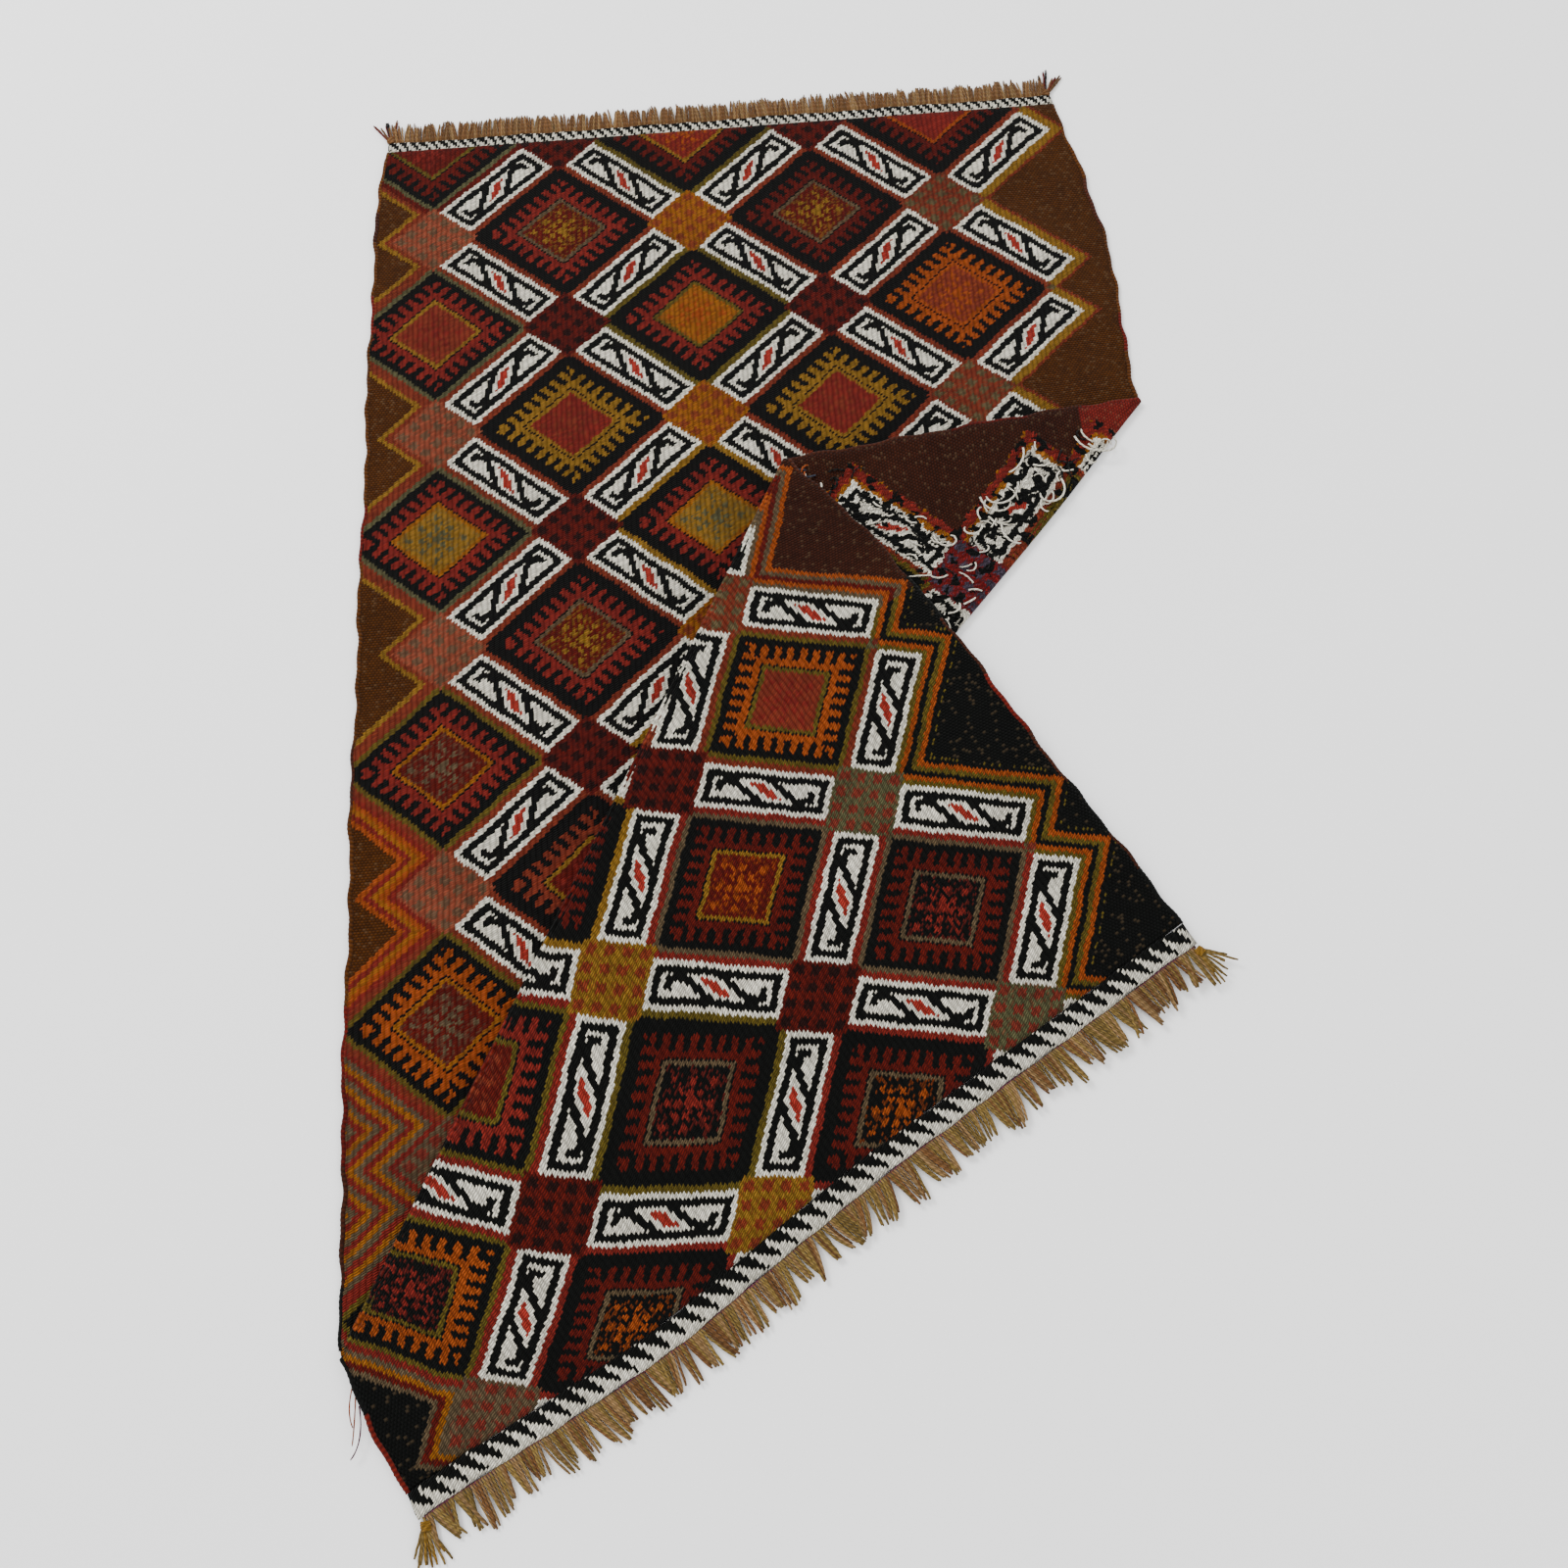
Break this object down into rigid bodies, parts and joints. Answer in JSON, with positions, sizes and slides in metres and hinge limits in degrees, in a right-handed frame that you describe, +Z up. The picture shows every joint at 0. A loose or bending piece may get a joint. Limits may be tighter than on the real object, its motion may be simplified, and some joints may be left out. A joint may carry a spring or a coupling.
{
  "type": "flat-woven wool rug",
  "caption": "Small flat-woven wool rug with a brocaded diamond lattice, cut fringe at both ends and one pleat folded across its lower right part, which opens out flat.",
  "frame": {"origin": "on the floor, under the middle of the folded rug's bounding box", "axes": "+Y along the warp of the upper part, towards the upper fringe; +X along its weft, to the right with the face up; +Z up, through the thickness"},
  "size_m": [0.6242, 1.0782, 0.0316],
  "materials": {
    "ground_wool": "matte dark brown wool, plain weave",
    "red_wool": "matte madder red wool with dark dots",
    "white_wool": "matte undyed white wool with black outlines",
    "madder_wool": "matte dark red and black wool",
    "ochre_wool": "matte ochre and red wool",
    "band_wool": "matte black and white twined wool",
    "purple_thread": "matte purple wool thread",
    "fringe_wool": "matte camel brown plied wool",
    "orange_wool": "matte orange wool yarn"
  },
  "bodies": {
    "upper": {"ground_cloth_upper": "ground_wool", "dotted_squares_upper": "red_wool", "hook_bars_upper": "white_wool", "comb_diamonds_upper": "madder_wool", "side_chevrons_upper": "ochre_wool", "selvedge_cord_right_upper": "ground_wool", "selvedge_cord_left_upper": "ground_wool", "end_band_top": "band_wool", "fringe_top": "fringe_wool", "corner_tassel_top_left": "fringe_wool", "corner_tassel_top_right": "fringe_wool"},
    "turnback": {"ground_cloth_turnback": "ground_wool", "dotted_squares_turnback": "red_wool", "hook_bars_turnback": "white_wool", "comb_diamonds_turnback": "madder_wool", "side_chevrons_turnback": "ochre_wool", "selvedge_cord_right_turnback": "ground_wool", "yarn_ends_on_back": "white_wool"},
    "flap": {"ground_cloth_flap": "ground_wool", "dotted_squares_flap": "red_wool", "hook_bars_flap": "white_wool", "comb_diamonds_flap": "madder_wool", "side_chevrons_flap": "ochre_wool", "selvedge_cord_right_flap": "ground_wool", "selvedge_cord_left_flap": "ground_wool", "end_band_bottom": "band_wool", "binding_thread_bottom": "purple_thread", "fringe_bottom": "fringe_wool", "corner_tassel_bottom_left": "fringe_wool", "corner_tassel_bottom_right": "fringe_wool", "stray_yarn_left": "orange_wool"}
  },
  "joints": [
    {"name": "turnback_fold", "type": "hinge", "parent": "upper", "child": "turnback", "pos_m": [-0.3, -0.42007, 0.00315], "axis": [0.6947, 0.7193, 0], "range_deg": [0, 173]},
    {"name": "flap_fold", "type": "hinge", "parent": "turnback", "child": "flap", "pos_m": [-0.29971, -0.42035, 0.00643], "axis": [0.4862, 0.8733, 0.0315], "range_deg": [-175.44, 0]}
  ],
  "couplings": [
    {"joint": "flap_fold", "follows": "turnback_fold", "ratio": -1.014}
  ]
}
